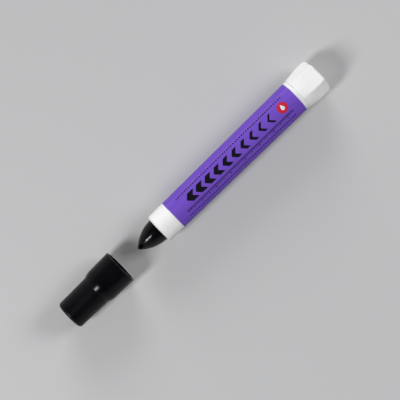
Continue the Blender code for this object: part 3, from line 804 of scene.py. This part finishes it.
stick_low, stick_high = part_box("paint_stick")
STICK_RADIUS = (stick_high.z - stick_low.z) / 2
STICK_BACK = stick_low.x
STICK_POINT = stick_high.x
STICK_EDGE = 0.0003
TIP_FROM = BARREL_REAR + BARREL_LENGTH
TIP_OUT = STICK_POINT - TIP_FROM
TIP_BLUNT = 0.0004
TIP_STEPS = 48
SPIGOT_RADIUS = 0.0056
SPIGOT_LENGTH = 0.0040
STICK_BORE = 0.0030
STICK_BORE_REACH = 0.0848
STICK_BORE_END = BARREL_REAR + STICK_BORE_REACH
STICK_BORE_POINT = STICK_BORE / 2
PAINT = (0.0014, 0.0012, 0.0020)
PAINT_BLOOM = (0.0030, 0.0027, 0.0040)
PAINT_BLOOM_SHOWS = 0.6
PAINT_FLOW_DULLS = 0.5
PAINT_ROUGHNESS = 0.15, 0.30
PAINT_SHINE = 0.26
PAINT_GRAIN_DEPTH = 0.000009
PAINT_FLOW_RISE = 4.0


def bullet_point(steps):
    """Bullet point as (x, radius): an arc tangent to the rod of radius r, ended by a small round.

    Run on to a sharp point at the length l, the arc has the radius R = (r^2 + l^2) / 2r. The round is
    the circle that touches the arc from inside and ends at the real point, at the length t: its
    middle is on the axis and its radius is (l^2 - t^2) / 2(R - t).
    """
    sharp = TIP_OUT + TIP_BLUNT
    bend = (STICK_RADIUS**2 + sharp**2) / (2 * STICK_RADIUS)
    blunt = (sharp**2 - TIP_OUT**2) / (2 * (bend - TIP_OUT))
    touch = math.atan2(bend - STICK_RADIUS, TIP_OUT - blunt)
    lean = np.linspace(math.pi / 2, touch, steps, endpoint=False)
    arc = np.stack([TIP_FROM + bend * np.cos(lean), STICK_RADIUS - bend * (1 - np.sin(lean))], axis=1)
    lean = np.linspace(touch, 0, steps // 2)
    end = np.stack([STICK_POINT - blunt * (1 - np.cos(lean)), blunt * np.sin(lean)], axis=1)
    return np.concatenate([arc, end])


stick_body = rounded_outline([
    corner_at(STICK_BORE_END, 0.0),
    corner_at(STICK_BORE_END - STICK_BORE_POINT, STICK_BORE),
    corner_at(STICK_BACK, STICK_BORE),
    corner_at(STICK_BACK, SPIGOT_RADIUS, STICK_EDGE),
    corner_at(STICK_BACK + SPIGOT_LENGTH, SPIGOT_RADIUS),
    corner_at(STICK_BACK + SPIGOT_LENGTH, STICK_RADIUS, STICK_EDGE),
    corner_at(TIP_FROM - GUARD, STICK_RADIUS),
])[0]
stick_outline = np.concatenate([stick_body, bullet_point(TIP_STEPS)])
stick_grid = round_the_axis(stick_outline[:, :1], stick_outline[:, 1:], turn_angles)
paint_rod = skin("paint_rod", stick_grid, {})


def waxy_paint():
    """Cast paint: a waxy black whose bloom and drag lines come and go along the rod."""
    material, tree, shader, place = finish_base("black_paint")
    detail = surface_detail(tree, place, 0.0, grain_scale=1800.0, flow_scale=520.0, scuff_scale=4200.0)
    grain, flow, _, scuffed = detail
    bloom = reckon(tree, "MULTIPLY", flow, PAINT_BLOOM_SHOWS)
    tree.links.new(mix_colour(tree, bloom, PAINT, PAINT_BLOOM), shader.inputs["Base Color"])
    dull = reckon(tree, "MULTIPLY", scuffed, SCUFFS_DULL)
    dull = reckon(tree, "MULTIPLY_ADD", flow, PAINT_FLOW_DULLS, dull)
    tree.links.new(ramp(tree, dull, 0.0, 1.0, *PAINT_ROUGHNESS), shader.inputs["Roughness"])
    shader.inputs["Specular IOR Level"].default_value = PAINT_SHINE
    height = reckon(tree, "MULTIPLY_ADD", flow, PAINT_FLOW_RISE, grain)
    raise_surface(tree, shader, height, PAINT_GRAIN_DEPTH)
    return material


dress(paint_rod, waxy_paint(), "stick", "paint_stick")


# Cap
# A black polypropylene cap in two steps: a polished skirt that covers the nose, and a narrower end
# with a satin finish that covers the point. It is moulded in one piece and held by its fit.

cap_low, cap_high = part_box("cap")
CAP_MOUTH, CAP_END = cap_low.x, cap_high.x
CAP_MOUTH_RADIUS = (cap_high.z - cap_low.z) / 2
CAP_LIP = 0.00034
CAP_SKIRT_LENGTH = 0.0172
CAP_SKIRT_RADIUS = 0.00952
CAP_SHOULDER_CURVE = 0.0038
CAP_SHOULDER_EASE = 1.5
CAP_SHOULDER_POINTS = 28
CAP_STEP = 0.00012
CAP_STEP_EDGE = 0.000072, 0.000060
CAP_STEP_FOOT = 0.000036, 0.000060
CAP_NARROW_RADIUS = 0.0084
CAP_DRAFT = 0.0003
CAP_END_EDGE = 0.0015
CAP_END_WALL = 0.0013
CAP_END_HOLLOW = CAP_END_WALL / 2
CAP_BORE_MOUTH, CAP_BORE_INNER = 0.00862, 0.00852
CAP_BORE_EDGE = 0.00022
CAP_INNER_SHOULDER = 0.0142
CAP_INNER_EDGE = 0.0002
CAP_NARROW_BORE = 0.0072
CAP_BORE_DRAFT = 0.0001
BLACK = (0.0020, 0.0018, 0.0026)
BLACK_SHADE = (0.0032, 0.0029, 0.0040)
# Colour of the cap's rubbed edges. Along the mouth's lip it is also a painted highlight, the pale line
# that the lip's rounding catches.
BLACK_WORN_AND_LIP_HIGHLIGHT = (0.045, 0.043, 0.047)
CAP_WEAR_AND_LIP_HIGHLIGHT_SHOWS, CAP_SCUFFS_SHOW = 0.35, 0.12
CAP_POLISHED, CAP_SATIN = 0.17, 0.30
CAP_POLISH_BLEND = 0.0002
CAP_FLOW_DULLS, CAP_WEAR_DULLS = 0.05, 0.5
CAP_SHINE = 0.165
CAP_GRAIN_DEPTH = 0.000006
CAP_POLISHED_GRAIN = 0.1

shoulder_x = CAP_MOUTH + CAP_SKIRT_LENGTH
inner_shoulder_x = CAP_MOUTH + CAP_INNER_SHOULDER
step_radius = CAP_NARROW_RADIUS + CAP_STEP


def shoulder_corners():
    """Corners along the shoulder's curve, where the radius falls by its share to the power of the ease.

    It ends a small step above the narrow end. A first corner on the skirt keeps that evenly shaded.
    """
    share = np.linspace(0, 1, CAP_SHOULDER_POINTS, endpoint=False)
    x = shoulder_x - CAP_SHOULDER_CURVE * (1 - share)
    radius = CAP_SKIRT_RADIUS - (CAP_SKIRT_RADIUS - step_radius) * share**CAP_SHOULDER_EASE
    x, radius = np.append(x[0] - GUARD, x), np.append(radius[0], radius)
    return [corner_at(*place) for place in zip(x, radius)]


cap_outline, cap_wear_and_lip_highlight = rounded_outline([
    corner_at(CAP_END - CAP_END_WALL, 0.0),
    corner_at(CAP_END - CAP_END_WALL, CAP_NARROW_BORE - CAP_BORE_DRAFT, CAP_END_HOLLOW),
    corner_at(inner_shoulder_x, CAP_NARROW_BORE, CAP_INNER_EDGE),
    corner_at(inner_shoulder_x, CAP_BORE_INNER, CAP_INNER_EDGE),
    corner_at(CAP_MOUTH, CAP_BORE_MOUTH, CAP_BORE_EDGE),
    # The lip's full wear is partly real rubbing and partly a painted highlight: its pale colour draws
    # the line of light along the mouth.
    corner_at(CAP_MOUTH, CAP_MOUTH_RADIUS, CAP_LIP, wear=1.0),
    *shoulder_corners(),
    corner_at(shoulder_x, step_radius, *CAP_STEP_EDGE, wear=0.8),
    corner_at(shoulder_x, CAP_NARROW_RADIUS, *CAP_STEP_FOOT),
    corner_at(CAP_END, CAP_NARROW_RADIUS - CAP_DRAFT, CAP_END_EDGE, wear=0.5),
    corner_at(CAP_END, 0.0),
])
cap_grid = round_the_axis(cap_outline[:, :1], cap_outline[:, 1:], turn_angles)
cap_shell = skin("cap_shell", cap_grid, {"edge": cap_wear_and_lip_highlight[:, None]})


def cap_black():
    """Black plastic, polished up to the shoulder and satin beyond, with rubbed edges and hairlines.

    The pale rubbed colour along the mouth's lip is partly real wear and partly a painted highlight.
    """
    material, tree, shader, place = finish_base("cap_black")
    edge = read_mark(tree, "edge")
    detail = surface_detail(tree, place, edge, grain_scale=5600.0, flow_scale=300.0, scuff_scale=5400.0)
    grain, flow, rubbed, scuffed = detail
    # Rubbed edges take the worn colour. Along the mouth's lip that is partly real wear and partly a
    # painted highlight.
    worn = reckon(tree, "MULTIPLY", rubbed, CAP_WEAR_AND_LIP_HIGHLIGHT_SHOWS)
    worn = reckon(tree, "MULTIPLY_ADD", scuffed, CAP_SCUFFS_SHOW, worn)
    base = mix_colour(tree, flow, BLACK, BLACK_SHADE)
    tree.links.new(mix_colour(tree, worn, base, BLACK_WORN_AND_LIP_HIGHLIGHT), shader.inputs["Base Color"])
    along = shader_node(tree, "ShaderNodeSeparateXYZ", {"Vector": place}).outputs["X"]
    satin = ramp(tree, along, shoulder_x - CAP_POLISH_BLEND, shoulder_x + CAP_POLISH_BLEND)
    dull = reckon(tree, "MULTIPLY_ADD", satin, CAP_SATIN - CAP_POLISHED, CAP_POLISHED)
    dull = reckon(tree, "MULTIPLY_ADD", flow, CAP_FLOW_DULLS, dull)
    dull = reckon(tree, "MULTIPLY_ADD", worn, CAP_WEAR_DULLS, dull)
    tree.links.new(dull, shader.inputs["Roughness"])
    shader.inputs["Specular IOR Level"].default_value = CAP_SHINE
    grain_share = reckon(tree, "MULTIPLY_ADD", satin, 1 - CAP_POLISHED_GRAIN, CAP_POLISHED_GRAIN)
    raise_surface(tree, shader, reckon(tree, "MULTIPLY", grain, grain_share), CAP_GRAIN_DEPTH)
    return material


dress(cap_shell, cap_black(), "cap", "cap")


# Floor
# A plain table top of matt laminate that holds the object's shadow. It is one wide disc, seen paler
# than it throws light back, and far out it fades into the pale surround, so that no edge of it shows.

FLOOR_RADIUS = 3.0
FLOOR_RINGS = 12
FLOOR_STEPS = 48
FLOOR_PALE = (0.560, 0.560, 0.565)
FLOOR_SHADE = (0.545, 0.545, 0.552)
FLOOR_BOUNCE = (0.300, 0.300, 0.303)
FLOOR_FADED = (0.0, 0.0, 0.0)
FLOOR_FADE_FROM, FLOOR_FADE_TO = 0.12, 0.60
FLOOR_TOOTH_SCALE = 900.0
SURROUND = (0.95, 0.97, 1.00)
SURROUND_SEEN = 0.48


def seen_rays(tree):
    """Mask that is 1 for rays from the camera, from mirror-like surfaces and through clear ones."""
    rays = tree.nodes.new("ShaderNodeLightPath").outputs
    return either(tree, rays["Is Camera Ray"], rays["Is Glossy Ray"], rays["Is Transmission Ray"])


def floor_laminate():
    """Matt laminate: its own colour gives way to the surround's glow by the distance from the middle."""
    material, tree, shader, place = finish_base("floor_laminate")
    tooth = noise(tree, place, FLOOR_TOOTH_SCALE, detail=3.0, roughness=0.6)
    distance = shader_node(tree, "ShaderNodeVectorMath", {0: place}, operation="LENGTH").outputs["Value"]
    fade = ramp(tree, distance, FLOOR_FADE_FROM, FLOOR_FADE_TO)
    seen = seen_rays(tree)
    colour = mix_colour(tree, tooth, FLOOR_PALE, FLOOR_SHADE)
    colour = mix_colour(tree, seen, FLOOR_BOUNCE, colour)
    colour = mix_colour(tree, fade, colour, FLOOR_FADED)
    tree.links.new(colour, shader.inputs["Base Color"])
    glow = reckon(tree, "MULTIPLY", every(tree, fade, seen), SURROUND_SEEN)
    tree.links.new(glow, shader.inputs["Emission Strength"])
    shader.inputs["Emission Color"].default_value = (*SURROUND, 1.0)
    shader.inputs["Specular IOR Level"].default_value = 0.0
    return material


floor_rings = np.linspace(0, 1, FLOOR_RINGS)[:, None] ** 2 * FLOOR_RADIUS
floor_angles = np.linspace(0, math.tau, FLOOR_STEPS, endpoint=False)
floor_points = floor_rings * np.cos(floor_angles), floor_rings * np.sin(floor_angles), 0 * floor_rings
floor = skin("floor", np.stack(np.broadcast_arrays(*floor_points), axis=-1), {})
floor.data.materials.append(floor_laminate())


# Light
# Studio light: a broad soft box low on the marker's left, a small one beyond the cap that draws the
# highlights on the point and the cap's shoulder, another beyond the knob, and a pale surround.

KEY_PLACE = Vector((-1.10, -1.95, 0.64))
KEY_SIZE = 1.30, 1.30
KEY_POWER = 36.0
RIM_PLACE = Vector((0.69, -0.035, 0.71))
RIM_SIZE = 0.20, 0.32
RIM_POWER = 5.8
BACK_PLACE = Vector((-0.70, 0.28, 0.62))
BACK_SIZE = 0.40, 0.40
BACK_POWER = 3.8
SURROUND_STRENGTH = 0.12
OVERHEAD_SEEN = 0.04
OVERHEAD_FROM, OVERHEAD_FULL = math.radians(12.0), math.radians(48.0)
aim = Vector((0.0, 0.0, AXIS_HEIGHT))


def soft_box(name, place, size, power):
    """An area lamp that faces the object, its second side upright."""
    lamp = bpy.data.lights.new(name, "AREA")
    lamp.shape = "RECTANGLE"
    lamp.size, lamp.size_y = size
    lamp.energy = power
    holder = bpy.data.objects.new(name, lamp)
    holder.location = place
    holder.rotation_euler = (place - aim).to_track_quat("Z", "Y").to_euler()
    bpy.context.scene.collection.objects.link(holder)


def pale_surround():
    """World that is seen pale round the horizon and dark overhead, so that black pieces stay black.

    Its seen strength falls with the sine of the height above the horizon. Its light has one strength.
    """
    world = bpy.data.worlds.new("surround")
    world.use_nodes = True
    tree = world.node_tree
    direction = tree.nodes.new("ShaderNodeTexCoord").outputs["Generated"]
    rise = shader_node(tree, "ShaderNodeSeparateXYZ", {"Vector": direction}).outputs["Z"]
    low, high = math.sin(OVERHEAD_FROM), math.sin(OVERHEAD_FULL)
    seen = ramp(tree, rise, low, high, SURROUND_SEEN, OVERHEAD_SEEN)
    strength = ramp(tree, seen_rays(tree), 0.0, 1.0, SURROUND_STRENGTH, seen)
    backdrop = tree.nodes["Background"]
    backdrop.inputs["Color"].default_value = (*SURROUND, 1.0)
    tree.links.new(strength, backdrop.inputs["Strength"])
    return world


soft_box("key_box", KEY_PLACE, KEY_SIZE, KEY_POWER)
soft_box("rim_box", RIM_PLACE, RIM_SIZE, RIM_POWER)
soft_box("back_box", BACK_PLACE, BACK_SIZE, BACK_POWER)
bpy.context.scene.world = pale_surround()
bpy.context.scene.view_settings.view_transform = "Standard"


# Camera
# It looks almost straight down from FACING, turned so that the marker lies across the picture with
# its point to the lower left, and far enough away that the barrel hardly narrows.

CAMERA_DISTANCE = 0.75
VIEW_HALF_WIDTH = 0.102
MARKER_TURN = math.radians(44.25)
VIEW_MIDDLE_ALONG = -0.00056
VIEW_MIDDLE_ACROSS = 0.0040
towards = Vector((0.0, math.sin(FACING), math.cos(FACING)))
across = Vector((0.0, math.cos(FACING), -math.sin(FACING)))
axis = Vector((1.0, 0.0, 0.0))
right = across * math.sin(MARKER_TURN) - axis * math.cos(MARKER_TURN)
up = -across * math.cos(MARKER_TURN) - axis * math.sin(MARKER_TURN)
middle = Vector((VIEW_MIDDLE_ALONG, 0.0, AXIS_HEIGHT)) + across * VIEW_MIDDLE_ACROSS
camera = bpy.data.objects.new("camera", bpy.data.cameras.new("camera"))
camera.data.angle = 2 * math.atan(VIEW_HALF_WIDTH / CAMERA_DISTANCE)
camera.matrix_world = Matrix((right, up, towards)).transposed().to_4x4()
camera.location = middle + towards * CAMERA_DISTANCE
bpy.context.scene.collection.objects.link(camera)
bpy.context.scene.camera = camera
